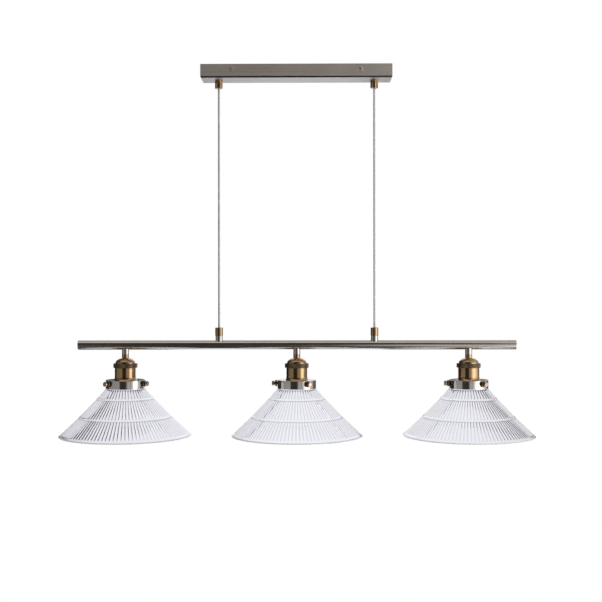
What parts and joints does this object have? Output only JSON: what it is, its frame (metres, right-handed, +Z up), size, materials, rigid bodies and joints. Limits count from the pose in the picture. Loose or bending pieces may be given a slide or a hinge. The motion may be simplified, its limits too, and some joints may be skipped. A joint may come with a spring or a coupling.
{
  "type": "bar pendant ceiling light",
  "caption": "Ceiling light with a slim bar hung on taut clear flexes from a rectangular canopy, and brass lampholders with fluted conical glass shades along the bar.",
  "frame": {"origin": "middle of the canopy's open rim, on the ceiling plane", "axes": "+X along the bar, +Y to the back, +Z up to the ceiling"},
  "size_m": [0.904, 0.25, 0.703],
  "materials": {
    "brushed_nickel": "brushed along the length, satin",
    "polished_nickel": "polished",
    "antique_brass": "turned, aged and waxed",
    "bright_brass": "as drawn",
    "dark_bronze": "knurled, darkened",
    "fluted_glass": "pressed, fluted outside and smooth inside",
    "flex_sheath": "clear sheath over tinned cores",
    "porcelain": "glazed",
    "zinc_steel": "zinc plated",
    "nylon": "moulded"
  },
  "bodies": {
    "canopy": {"canopy_shell": "brushed_nickel", "mounting_bracket": "zinc_steel", "canopy_screws": "polished_nickel", "terminal_block": "nylon", "terminal_inserts": "bright_brass", "terminal_screws": "zinc_steel", "earth_terminal": "bright_brass", "upper_gland_left": "antique_brass", "upper_gland_right": "antique_brass", "gland_locknuts": "bright_brass", "cord_collets": "nylon", "flex_tails": "flex_sheath"},
    "flex_upper": {"flex_bends_upper": "flex_sheath"},
    "flex_left": {"flex_left": "flex_sheath"},
    "flex_right": {"flex_right": "flex_sheath"},
    "flex_lower": {"flex_bend_lower": "flex_sheath"},
    "bar": {"bar_tube": "polished_nickel", "bar_end_cap_left": "polished_nickel", "bar_end_cap_right": "polished_nickel", "bar_gland_base_left": "polished_nickel", "bar_gland_base_right": "polished_nickel", "bar_gland_sleeve_left": "antique_brass", "bar_gland_sleeve_right": "antique_brass", "bar_wiring": "flex_sheath", "centre_contacts": "bright_brass", "gallery_clamp_rings": "zinc_steel", "stem_left": "polished_nickel", "lampholder_cap_left": "antique_brass", "lampholder_ring_left": "dark_bronze", "lampholder_body_left": "antique_brass", "socket_insulator_left": "porcelain", "socket_shell_left": "bright_brass", "gallery_left": "polished_nickel", "glass_shade_left": "fluted_glass", "stem_centre": "polished_nickel", "lampholder_cap_centre": "antique_brass", "lampholder_ring_centre": "dark_bronze", "lampholder_body_centre": "antique_brass", "socket_insulator_centre": "porcelain", "socket_shell_centre": "bright_brass", "gallery_centre": "polished_nickel", "glass_shade_centre": "fluted_glass", "stem_right": "polished_nickel", "lampholder_cap_right": "antique_brass", "lampholder_ring_right": "dark_bronze", "lampholder_body_right": "antique_brass", "socket_insulator_right": "porcelain", "socket_shell_right": "bright_brass", "gallery_right": "polished_nickel", "glass_shade_right": "fluted_glass"},
    "gallery_screw_left_1": {"gallery_screw_left_1": "antique_brass"},
    "gallery_screw_left_2": {"gallery_screw_left_2": "antique_brass"},
    "gallery_screw_left_3": {"gallery_screw_left_3": "antique_brass"},
    "gallery_screw_centre_1": {"gallery_screw_centre_1": "antique_brass"},
    "gallery_screw_centre_2": {"gallery_screw_centre_2": "antique_brass"},
    "gallery_screw_centre_3": {"gallery_screw_centre_3": "antique_brass"},
    "gallery_screw_right_1": {"gallery_screw_right_1": "antique_brass"},
    "gallery_screw_right_2": {"gallery_screw_right_2": "antique_brass"},
    "gallery_screw_right_3": {"gallery_screw_right_3": "antique_brass"}
  },
  "joints": [
    {"name": "fore_aft_swing", "type": "hinge", "parent": "canopy", "child": "flex_upper", "pos_m": [0, 0, -0.038], "axis": [1, 0, 0], "range_deg": [-12, 12]},
    {"name": "end_swing", "type": "hinge", "parent": "flex_upper", "child": "flex_left", "pos_m": [-0.148, 0, -0.038], "axis": [0, 1, 0], "range_deg": [-10, 10]},
    {"name": "end_swing_right", "type": "hinge", "parent": "flex_upper", "child": "flex_right", "pos_m": [0.148, 0, -0.038], "axis": [0, 1, 0], "range_deg": [-10, 10]},
    {"name": "drop", "type": "slide", "parent": "flex_left", "child": "flex_lower", "axis": [0, 0, 1], "range_m": [0, 0.3], "deforming": ["flex_left", "flex_right"]},
    {"name": "bar_level", "type": "hinge", "parent": "flex_lower", "child": "bar", "pos_m": [-0.148, 0, -0.501], "axis": [0, 1, 0], "range_deg": [-10, 10]},
    {"name": "unscrew_left_1", "type": "slide", "parent": "bar", "child": "gallery_screw_left_1", "axis": [-0.7193, -0.6947, 0], "range_m": [0, 0.0036]},
    {"name": "unscrew_left_2", "type": "slide", "parent": "bar", "child": "gallery_screw_left_2", "axis": [0.9613, -0.2756, 0], "range_m": [0, 0.0036]},
    {"name": "unscrew_left_3", "type": "slide", "parent": "bar", "child": "gallery_screw_left_3", "axis": [-0.2419, 0.9703, 0], "range_m": [0, 0.0036]},
    {"name": "unscrew_centre_1", "type": "slide", "parent": "bar", "child": "gallery_screw_centre_1", "axis": [0.5446, -0.8387, 0], "range_m": [0, 0.0036]},
    {"name": "unscrew_centre_2", "type": "slide", "parent": "bar", "child": "gallery_screw_centre_2", "axis": [0.454, 0.891, 0], "range_m": [0, 0.0036]},
    {"name": "unscrew_centre_3", "type": "slide", "parent": "bar", "child": "gallery_screw_centre_3", "axis": [-0.9986, -0.0523, 0], "range_m": [0, 0.0036]},
    {"name": "unscrew_right_1", "type": "slide", "parent": "bar", "child": "gallery_screw_right_1", "axis": [0.5878, -0.809, 0], "range_m": [0, 0.0036]},
    {"name": "unscrew_right_2", "type": "slide", "parent": "bar", "child": "gallery_screw_right_2", "axis": [0.4067, 0.9135, 0], "range_m": [0, 0.0036]},
    {"name": "unscrew_right_3", "type": "slide", "parent": "bar", "child": "gallery_screw_right_3", "axis": [-0.9945, -0.1045, 0], "range_m": [0, 0.0036]}
  ],
  "couplings": [
    {"joint": "end_swing_right", "follows": "end_swing", "ratio": 1},
    {"joint": "bar_level", "follows": "end_swing", "ratio": -1}
  ]
}
